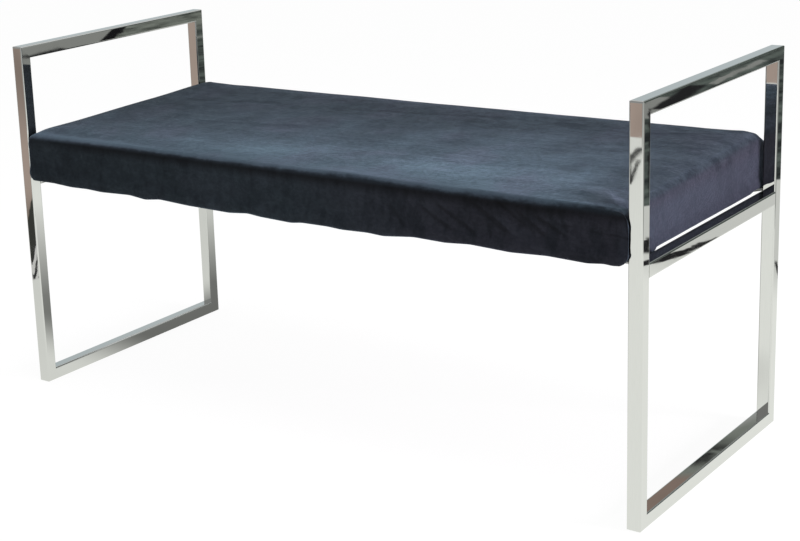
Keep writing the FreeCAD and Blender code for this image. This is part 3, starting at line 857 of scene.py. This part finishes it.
seat = {
    "halfLength": 0.576,
    "halfDepth": 0.250,
    "top": 0.472,
    "under": 0.395,
    "hemBottom": 0.3835,
    "hemDepth": 0.012,
    "edgeStep": 0.003,           # spacing of the mesh lines next to every edge
    "edgeSteps": 4,
    "cellsLong": 144,
    "cellsDeep": 62,
    "layers": (                  # heights of the rows of faces, from the top down
        0.002, 0.003, 0.004, 0.005, 0.006, 0.007, 0.008, 0.008, 0.008, 0.007, 0.006, 0.005, 0.004,
        0.0025, 0.0015),
    "hemLayers": (0.0035, 0.004, 0.004),
    "foldRadius": (              # radius of the front fold along the seat
        (-0.576, 0.009), (-0.450, 0.011), (-0.300, 0.010), (-0.180, 0.012), (0.000, 0.010),
        (0.110, 0.008), (0.280, 0.010), (0.350, 0.008), (0.576, 0.009)),
    "endEdge": 0.013,            # radius of the top edges at the ends
    "backEdge": 0.012,           # and at the back
    "underEdge": 0.0025,
    "corner": 0.005,
    "seamBand": 0.013,           # the mesh is finer this near to an upright corner
    "hemCorner": 0.012,
    "hemRoll": (0.0055, 0.0020),     # radius of the hem's outer and inner lower edge
    "backLift": (0.0084, 0.0120),    # rise of the back of the top, at the left and the right end
    "swell": 0.0032,             # the most that the stuffing pushes the cover out
    "frontLine": (               # how far the fold drops along the front edge
        (-0.576, 0.0050), (-0.520, 0.0062), (-0.450, 0.0062), (-0.354, 0.0040), (-0.292, 0.0048),
        (-0.188, 0.0066), (-0.120, 0.0052), (0.006, 0.0050), (0.064, 0.0030), (0.112, 0.0010),
        (0.157, 0.0024), (0.211, 0.0038), (0.281, 0.0046), (0.348, 0.0014), (0.430, 0.0026),
        (0.523, 0.0024), (0.552, 0.0036), (0.576, 0.0080)),
    "hemLine": (                 # height of the hem's lower edge
        (-0.576, 0.3816), (-0.522, 0.3822), (-0.478, 0.3798), (-0.440, 0.3808), (-0.406, 0.3792),
        (-0.341, 0.3818), (-0.305, 0.3780), (-0.273, 0.3822), (-0.212, 0.3792), (-0.122, 0.3779),
        (-0.085, 0.3816), (-0.060, 0.3792), (0.003, 0.3772), (0.023, 0.3800), (0.073, 0.3804),
        (0.100, 0.3788), (0.148, 0.3804), (0.177, 0.3788), (0.231, 0.3846), (0.287, 0.3834),
        (0.328, 0.3866), (0.396, 0.3840), (0.455, 0.3870), (0.518, 0.3852), (0.544, 0.3882),
        (0.556, 0.3868), (0.567, 0.3891), (0.576, 0.3925)),
    "lobeRight": (               # how far the front corner swells past the seat's end, by height
        (0.380, 0.0014), (0.390, 0.0026), (0.400, 0.0052), (0.412, 0.0076), (0.428, 0.0086), (0.445, 0.0086),
        (0.455, 0.0070), (0.463, 0.0034), (0.472, 0.0)),
    "lobeLeft": (
        (0.380, 0.0015), (0.400, 0.0024), (0.430, 0.0030), (0.450, 0.0026), (0.460, 0.0012), (0.472, 0.0002)),
    "frontCreases": (            # from and to (x, z), half width, how far out
        ((0.343, 0.447), (0.387, 0.418), 0.0032, -0.0007), ((0.414, 0.444), (0.447, 0.420), 0.0030, -0.0007),
        ((0.487, 0.436), (0.569, 0.430), 0.0034, -0.0007), ((0.486, 0.430), (0.566, 0.413), 0.0030, -0.0006),
        ((0.254, 0.430), (0.293, 0.409), 0.0030, -0.0006), ((0.194, 0.426), (0.216, 0.403), 0.0030, -0.0004),
        ((0.280, 0.440), (0.332, 0.408), 0.0030, -0.0006), ((0.447, 0.440), (0.501, 0.411), 0.0034, -0.0008),
        ((0.383, 0.455), (0.415, 0.433), 0.0030, -0.0006), ((0.395, 0.425), (0.450, 0.398), 0.0060, 0.0008),
        ((0.515, 0.408), (0.572, 0.400), 0.0080, 0.0012), ((-0.420, 0.440), (-0.380, 0.404), 0.0080, 0.0006),
        ((-0.070, 0.452), (-0.020, 0.410), 0.0090, -0.0005),
        ((-0.250, 0.450), (-0.215, 0.400), 0.0080, -0.0005)),
    "toneScale": 600,            # turns a crease's height into painted shade where it is sunk and painted light where it is raised
    "frontTones": (              # patches painted darker (below zero) or lighter, with no crease in the shape
        ((0.350, 0.432), (0.450, 0.430), 0.022, -0.00028), ((0.520, 0.418), (0.572, 0.407), 0.020, 0.0012)),
    "topCreases": (              # from and to (x, y), half width, how high
        ((0.140, -0.150), (0.420, -0.105), 0.011, -0.0003), ((0.330, -0.205), (0.520, -0.160), 0.011, -0.0003),
        ((0.260, 0.020), (0.500, 0.075), 0.012, -0.0003), ((-0.330, -0.060), (-0.130, -0.020), 0.008, 0.0004),
        ((-0.480, 0.060), (-0.250, 0.110), 0.008, -0.0004), ((-0.060, 0.120), (0.180, 0.150), 0.007, -0.0004),
        ((0.455, -0.235), (0.545, -0.120), 0.0080, 0.0003), ((0.400, 0.140), (0.540, 0.190), 0.0070, 0.0004)),
    "endCreases": (              # from and to (y, z), half width, how far out
        ((-0.150, 0.450), (-0.060, 0.425), 0.007, -0.0006), ((0.020, 0.455), (0.100, 0.430), 0.007, -0.0005),
        ((-0.195, 0.430), (-0.150, 0.398), 0.006, 0.0008), ((0.140, 0.440), (0.205, 0.405), 0.006, -0.0006)),
    "frontWaves": (0.0009, 0.0006),      # the panel's broad waves, and finer ones above the hem
    "foldRoll": 0.0012,                  # the roll under the front fold
    "topWaves": (0.0008, 0.00025),
    "endWaves": 0.0005,
    "endSwell": 0.0020,
    "endFlare": 0.0012,                  # how far the ends' lower edges stand out
    "endSag": (0.0018, 0.0045, 0.0004),  # how far they hang: between the legs, at the right front, in waves
    "seamRidge": (0.0009, 0.0006),       # height of the seams, and depth of the line beside them
    "pucker": 0.0006,
    "sheetRoom": 0.0004,
    "legFace": 0.5777,           # nothing soft goes past this beside a leg or the seat rail
    "legInner": 0.21,            # the legs stand between these two, in y
    "legOuter": 0.2454,
    "railTop": 0.3935,
}

stuffing = {  # cloth settings
    "quality": 5,
    "mass": 0.3,
    "tension_stiffness": 18,
    "compression_stiffness": 18,
    "shear_stiffness": 6,
    "bending_stiffness": 0.6,
    "use_pressure": True,
    "uniform_pressure_force": 4,
    "vertex_group_mass": "held",
    "pin_stiffness": 1,
}
stuffingFrames = 20


def meshLines(half, cells):  # close together at the ends, even between
    edge = seat["edgeStep"] * np.arange(seat["edgeSteps"])
    inner = half - seat["edgeStep"] * seat["edgeSteps"]
    return np.concatenate([-half + edge, np.linspace(-inner, inner, cells + 1), half - edge[::-1]])


def makeBlank():  # a grid drawn down into a block, then a hem drawn down along its front
    across = meshLines(seat["halfLength"], seat["cellsLong"])
    deep = meshLines(seat["halfDepth"], seat["cellsDeep"])
    clearSelection()
    bpy.ops.mesh.primitive_grid_add(
        x_subdivisions=len(across) - 1, y_subdivisions=len(deep) - 1, size=2, location=(0, 0, 0))
    cushion = bpy.context.object
    cushion.name = cushion.data.name = "seat_cushion"
    points = readPoints(cushion)
    points[:, 0] = np.interp(points[:, 0], np.linspace(-1, 1, len(across)), across)
    points[:, 1] = np.interp(points[:, 1], np.linspace(-1, 1, len(deep)), deep)
    points[:, 2] = seat["top"]
    writePoints(cushion, points)
    bpy.ops.object.mode_set(mode="EDIT")
    bpy.ops.mesh.select_mode(type="FACE")
    bpy.ops.mesh.select_all(action="SELECT")
    for layer in seat["layers"]:
        bpy.ops.mesh.extrude_region_move(TRANSFORM_OT_translate={"value": (0, 0, -layer)})
    bpy.ops.object.mode_set(mode="OBJECT")
    centres = readCentres(cushion)
    underside = abs(centres[:, 2] - seat["under"]) < 0.0005
    pickFaces(cushion, underside & (centres[:, 1] < seat["hemDepth"] - seat["halfDepth"]))
    for layer in seat["hemLayers"]:
        bpy.ops.mesh.extrude_region_move(TRANSFORM_OT_translate={"value": (0, 0, -layer)})
    bpy.ops.mesh.select_all(action="SELECT")
    bpy.ops.mesh.normals_make_consistent(inside=False)
    bpy.ops.object.mode_set(mode="OBJECT")
    return cushion


def curve(table, x):  # a smooth line through pairs
    places, values = np.array(table).T
    fine = np.linspace(places[0], places[-1], 600)
    kernel = bell(np.linspace(-2, 2, 11), 1.0)
    line = np.pad(np.interp(fine, places, values), 5, mode="edge")
    return np.interp(x, fine, np.convolve(line, kernel / kernel.sum(), mode="valid"))


def roundPair(first, second, radius):  # two distances from an edge, carried onto the arc between them
    a, b = radius - first, radius - second
    near = (a > 0) & (b > 0)
    scale = np.where(near, np.maximum(a, b) / np.maximum(np.hypot(a, b), 1e-9), 1.0)
    return np.where(near, radius - a * scale, first), np.where(near, radius - b * scale, second)


def insets(points):  # distance in from the nearer end, and from the front or back
    return seat["halfLength"] - abs(points[:, 0]), seat["halfDepth"] - abs(points[:, 1])


def keepLayer(cushion, name, values):
    cushion.data.attributes.new(name, "FLOAT", "POINT").data.foreach_set("value", values)


def keptLayer(cushion, name):
    values = np.empty(len(cushion.data.vertices))
    cushion.data.attributes[name].data.foreach_get("value", values)
    return values


def roundBlank(cushion):
    points = readPoints(cushion)
    insetX, insetY = insets(points)
    keepLayer(cushion, "insetX", insetX)      # kept for the seams and the waves
    keepLayer(cushion, "insetY", insetY)
    side = np.where(points[:, :2] < 0, -1.0, 1.0)
    height = points[:, 2].copy()
    front = points[:, 1] < 0
    # lower corners of the hem, then its rolled edge
    inHem = front & (insetY < seat["hemDepth"] + 0.0001)
    rise = height - seat["hemBottom"]
    hemX, hemRise = roundPair(insetX, rise, seat["hemCorner"])
    insetX, rise = np.where(inHem, hemX, insetX), np.where(inHem, hemRise, rise)
    floorOfHem = seat["hemCorner"] - np.sqrt(np.maximum(
        seat["hemCorner"] ** 2 - np.maximum(seat["hemCorner"] - insetX, 0) ** 2, 0))
    lift = np.maximum(rise - floorOfHem, 0)
    outer, outerLift = roundPair(insetY, lift, seat["hemRoll"][0])
    inner, innerLift = roundPair(seat["hemDepth"] - insetY, lift, seat["hemRoll"][1])
    low = inHem & (height < seat["under"] - 0.0001)
    rolled = np.where(insetY < seat["hemDepth"] / 2, outer, seat["hemDepth"] - inner)
    rolledLift = np.where(insetY < seat["hemDepth"] / 2, outerLift, innerLift)
    insetY = np.where(low, rolled, insetY)
    height = np.where(inHem, seat["hemBottom"] + floorOfHem + np.where(low, rolledLift, lift), height)
    # edges round the underside, apart from the front
    ring = np.minimum(insetX, np.where(front, 1.0, insetY))
    newRing, newRise = roundPair(ring, height - seat["under"], seat["underEdge"])
    change = np.where(inHem, 0, newRing - ring)
    insetX = np.where(insetX <= ring + 1e-6, insetX + change, insetX)
    insetY = np.where((insetY <= ring + 1e-6) & ~front, insetY + change, insetY)
    height = np.where(inHem, height, seat["under"] + newRise)
    # top edges
    ring = np.minimum(insetX, insetY)
    rolled = curve(seat["foldRadius"], points[:, 0])
    long = np.where(front, rolled, seat["backEdge"])
    radius = long + (seat["endEdge"] - long) * smoothStep(-0.01, 0.01, insetY - insetX)
    newRing, newDrop = roundPair(ring, seat["top"] - height, radius)
    spread = newRing - ring
    insetX, insetY = (inset + spread * np.exp(-(inset - ring) / 0.02) for inset in (insetX, insetY))
    height = np.where(spread != 0, seat["top"] - newDrop, height)
    # upright corners
    insetX, insetY = roundPair(insetX, insetY, seat["corner"])
    points[:, 0] = side[:, 0] * (seat["halfLength"] - insetX)
    points[:, 1] = side[:, 1] * (seat["halfDepth"] - insetY)
    points[:, 2] = height
    writePoints(cushion, points)


def stuffCushion(cushion):  # the stuffing pushes the cover out from a held underside
    before = readPoints(cushion)
    held = cushion.vertex_groups.new(name="held")
    low = [int(place) for place in np.nonzero(before[:, 2] < seat["under"] + 0.006)[0]]
    held.add(low, 1.0, "REPLACE")
    makeActive(cushion)
    bpy.ops.object.modifier_add(type="CLOTH")
    cloth = cushion.modifiers[-1]
    for setting, value in stuffing.items():
        setattr(cloth.settings, setting, value)
    cloth.settings.effector_weights.gravity = 0
    cloth.point_cache.frame_start, cloth.point_cache.frame_end = 1, stuffingFrames
    for step in range(stuffingFrames):
        bpy.context.scene.frame_set(step + 1)
    bpy.ops.object.modifier_apply(modifier=cloth.name)
    bpy.context.scene.frame_set(1)
    moved = readPoints(cushion) - before
    far = np.linalg.norm(moved, axis=1)
    print("stuffing moved the cover by up to", round(float(far.max()) * 1000, 1), "mm")
    keep = seat["swell"] * np.tanh(far / seat["swell"]) / np.maximum(far, 1e-9)
    writePoints(cushion, before + moved * keep[:, None])


def refineCorners(cushion):  # finer mesh where the corner seams run
    insetX, insetY = insets(readCentres(cushion))
    pickFaces(cushion, (insetX < seat["seamBand"]) & (insetY < seat["seamBand"]))
    bpy.ops.mesh.subdivide(number_cuts=1, smoothness=0)
    bpy.ops.object.mode_set(mode="OBJECT")


def subdivideCushion(cushion):
    makeActive(cushion)
    bpy.ops.object.modifier_add(type="SUBSURF")
    finer = cushion.modifiers[-1]
    finer.levels = finer.render_levels = 1
    bpy.ops.object.modifier_apply(modifier=finer.name)


def groove(u, v, start, end, width):  # 1 along a line, fading to each side of it
    run = math.dist(start, end)
    across = ((v - start[1]) * (end[0] - start[0]) - (u - start[0]) * (end[1] - start[1])) / run
    along = ((u - start[0]) * (end[0] - start[0]) + (v - start[1]) * (end[1] - start[1])) / run
    past = np.maximum(np.maximum(-along, along - run), 0)
    return bell(across, width) * bell(past, width * 3)


def addCreases(u, v, creases):
    return sum(height * groove(u, v, start, end, width) for start, end, width, height in creases)


def window(value, fadeIn, full, fullEnd, fadeOut):
    return smoothStep(fadeIn, full, value) * smoothStep(fadeOut, fullEnd, value)


def shapeFront(points, insetX, insetY):  # waves of the fold along the front edge, of the hem and of the panel
    x, y, z = points.T.copy()
    depth = y + seat["halfDepth"]
    dropped = bell(np.maximum(depth, 0), 0.024) * smoothStep(0.425, 0.462, z)
    points[:, 2] -= curve(seat["frontLine"], x) * dropped
    hem = curve(seat["hemLine"], x) - seat["hemBottom"]
    lifted = np.where(insetY > 0.0113, smoothStep(0.3945, 0.3880, z), smoothStep(0.430, 0.388, z))
    points[:, 2] += hem * (depth < 0.03) * lifted
    panel = (insetY < 0.0007) & (y < 0)
    edges = window(z, 0.384, 0.396, 0.452, 0.466) * smoothStep(0, 0.02, insetX)
    broad, fine = seat["frontWaves"]
    puff = broad * ripple(points * (1, 0, 1.4), 0.13, 3) + addCreases(x, z, seat["frontCreases"])
    puff += fine * ripple(points * (1, 0, 0.3), 0.045, 8, 2) * smoothStep(0.415, 0.392, z)
    points[:, 1] -= panel * (edges * puff + seat["foldRoll"] * bell(z - 0.452, 0.012))
    return points


def shapeTop(points, insetX, insetY):  # broad undulations and long faint creases
    x, y, z = points.T.copy()
    high = z > seat["under"] + 0.045
    middle = smoothStep(0.004, 0.035, insetX) * smoothStep(0.004, 0.035, insetY)
    broad, fine = seat["topWaves"]
    wave = broad * ripple(points * (1, 1.5, 0), 0.26, 5) + fine * ripple(points * (0.5, 1.6, 0), 0.07, 6)
    points[:, 2] += high * middle * (wave + addCreases(x, y, seat["topCreases"]))
    backLift = smoothStep(0, 0.030, insetY) * (0.45 + 0.55 * bell(np.maximum(insetY - 0.035, 0), 0.10))
    backLift *= smoothStep(-0.15, 0.05, y) * smoothStep(0.432, 0.462, z)
    points[:, 2] += backLift * np.interp(x, (-seat["halfLength"], seat["halfLength"]), seat["backLift"])
    return points


def shapeEnds(points, insetX, insetY):  # end panels swell between the legs and sag at the bottom
    x, y, z = points.T.copy()
    side = np.sign(x)
    onEnd = insetX < 0.0007
    between = smoothStep(0.214, 0.165, abs(y))
    rise = np.clip((z - 0.394) / 0.068, 0, 1)
    swell = seat["endSwell"] * np.sin(math.pi * rise) ** 0.8 * between
    waves = seat["endWaves"] * ripple(points * (0, 1, 1.5), 0.10, 12) + addCreases(y * side, z, seat["endCreases"])
    swell += window(rise, 0, 0.2, 0.8, 1.0) * between * waves
    low = smoothStep(0.412, 0.397, z) * smoothStep(0.014, 0.004, insetX)
    broad, rightFront, fine = seat["endSag"]
    sag = broad * window(y, -0.200, -0.190, 0.180, 0.200)
    sag += rightFront * window(y, -0.204, -0.197, -0.160, -0.152) * (x > 0)
    sag += fine * ripple(points * (0, 1, 0), 0.06, 14, 2) * between
    points[:, 0] += side * onEnd * (swell + seat["endFlare"] * low * between)
    points[:, 2] -= low * sag
    besideLeg = (abs(y) > seat["legInner"]) & (abs(y) < seat["legOuter"])
    limit = np.where(besideLeg | (points[:, 2] < seat["railTop"]), seat["legFace"], 0.60)
    points[:, 0] = np.clip(points[:, 0], -limit, limit)
    return points


def shapeCorners(points, insetX, insetY):  # upright seams, and the front corners that swell over the legs
    x, y, z = points.T.copy()
    side = np.sign(x)
    seam = np.maximum(insetX, insetY)
    upright = smoothStep(0.466, 0.455, z) * smoothStep(0.379, 0.386, z)
    high, deep = seat["seamRidge"]
    ridge = upright * (high * bell(seam, 0.0009) - deep * bell(seam - 0.0028, 0.0013))
    points[:, 0] += side * ridge * 0.6
    points[:, 1] += np.sign(y) * ridge * 0.8
    inFront = smoothStep(0.0054, 0.0034, insetY) * smoothStep(0.030, 0.004, insetX) * (y < 0)
    lobe = np.where(x > 0, curve(seat["lobeRight"], z), curve(seat["lobeLeft"], z))
    lobe *= smoothStep(0.376, 0.384, z)
    points[:, 0] += side * lobe * inFront
    points[:, 1] -= inFront * (lobe > 0.0015) * np.maximum(points[:, 1] + 0.2476, 0)
    beside = (abs(points[:, 1]) < seat["legOuter"]) & (abs(y) > 0.2) & (insetX < 0.02)
    limit = np.where(beside, seat["legFace"], 1.0)
    points[:, 0] = np.clip(points[:, 0], -limit, limit)
    return points


def shapeUnder(points, insetX, insetY):  # the turned-in velvet puckers, and leaves room for the dust sheet
    flat = (abs(points[:, 2] - seat["under"]) < 0.0006) & (insetX > 0.006) & (insetY > 0.016)
    turned = window(np.minimum(insetX, insetY), 0.006, 0.016, 0.045, 0.058)
    pucker = seat["pucker"] * (1 + ripple(points * (1, 1, 0), 0.03, 21, 2)) * turned
    covered = smoothStep(0.042, 0.050, np.minimum(insetX, insetY)) * seat["sheetRoom"]
    points[:, 2] += flat * (pucker + covered)
    return points


def sculptCushion(cushion):
    points = readPoints(cushion)
    insetX, insetY = keptLayer(cushion, "insetX"), keptLayer(cushion, "insetY")
    # painted shade in the sunk front creases and painted light on the raised ones, kept on the points
    creaseShading = addCreases(points[:, 0], points[:, 2], seat["frontCreases"] + seat["frontTones"])
    creaseShading *= (insetY < 0.0007) * (points[:, 1] < 0)
    creaseShading *= smoothStep(0.08, 0.24, points[:, 0])
    keepLayer(cushion, "creaseShading", 0.5 - creaseShading * seat["toneScale"])
    for shape in (shapeTop, shapeFront, shapeEnds, shapeCorners, shapeUnder):
        points = shape(points, insetX, insetY)
    writePoints(cushion, points)


def makeCushion():
    cushion = makeBlank()
    roundBlank(cushion)
    stuffCushion(cushion)
    refineCorners(cushion)
    subdivideCushion(cushion)
    sculptCushion(cushion)
    makeActive(cushion)
    bpy.ops.object.shade_smooth()
    cushion.data.materials.append(velvet)
    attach(cushion, "root")
    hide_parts("velvet_cover", "fibre_wadding")
    print("cushion made:", len(cushion.data.polygons), "faces")


makeCushion()


# dust sheet under the seat

dustSheet = {
    "size": (1.056, 0.404),
    "thickness": 0.0008,
    "top": 0.3949,
    "sag": 0.0042,
    "staplePitch": 0.085,
    "drawIn": 0.0022,            # how far the edges draw in between staples
    "foldHeight": 0.0011,
    "foldReach": (0.006, 0.016, 0.022, 0.055),
    "cells": (176, 68),
}


def makeDustSheet():
    length, width = dustSheet["size"]
    longCells, wideCells = dustSheet["cells"]
    clearSelection()
    bpy.ops.mesh.primitive_grid_add(
        x_subdivisions=longCells, y_subdivisions=wideCells, size=1, location=(0, 0, 0))
    cloth = bpy.context.object
    cloth.name = cloth.data.name = "dust_sheet"
    points = readPoints(cloth) * (length, width, 1)
    x, y = points[:, 0].copy(), points[:, 1].copy()
    insetX, insetY = length / 2 - abs(x), width / 2 - abs(y)
    pitch = dustSheet["staplePitch"]
    betweenX, betweenY = np.sin(math.pi * x / pitch) ** 2, np.sin(math.pi * y / pitch) ** 2
    # edges draw in a little between the staples
    drawIn = dustSheet["drawIn"]
    points[:, 1] -= np.sign(y) * drawIn * betweenX * bell(insetY, 0.012) * smoothStep(0.0, 0.03, insetX)
    points[:, 0] -= np.sign(x) * drawIn * betweenY * bell(insetX, 0.012) * smoothStep(0.0, 0.03, insetY)
    # the middle sags, and folds run in from each staple
    inset = np.minimum(insetX, insetY)
    sag = dustSheet["sag"] * smoothStep(0.0, 0.16, insetX) * smoothStep(0.0, 0.15, insetY)
    folds = dustSheet["foldHeight"] * sum(
        (1 - between) ** 6 * window(across, *dustSheet["foldReach"]) * smoothStep(0.01, 0.05, along)
        for between, across, along in ((betweenX, insetY, insetX), (betweenY, insetX, insetY)))
    slack = 0.0005 * (1 + ripple(points * (1, 1, 0), 0.11, 31)) * smoothStep(0.008, 0.05, inset)
    lift = 0.0005 * np.where(insetY < insetX, betweenX, betweenY) * bell(inset, 0.004)
    points[:, 2] = dustSheet["top"] - sag - folds - slack - lift
    writePoints(cloth, points)
    bpy.ops.object.modifier_add(type="SOLIDIFY")
    wall = cloth.modifiers[-1]
    wall.thickness = dustSheet["thickness"]
    wall.offset = -1
    bpy.ops.object.modifier_apply(modifier=wall.name)
    bpy.ops.object.shade_smooth_by_angle(angle=math.radians(50))
    cloth.data.materials.append(dustCloth)
    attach(cloth, "root")
    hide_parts("dust_cover")
    print("dust sheet made:", len(cloth.data.polygons), "faces")


makeDustSheet()


print("done")
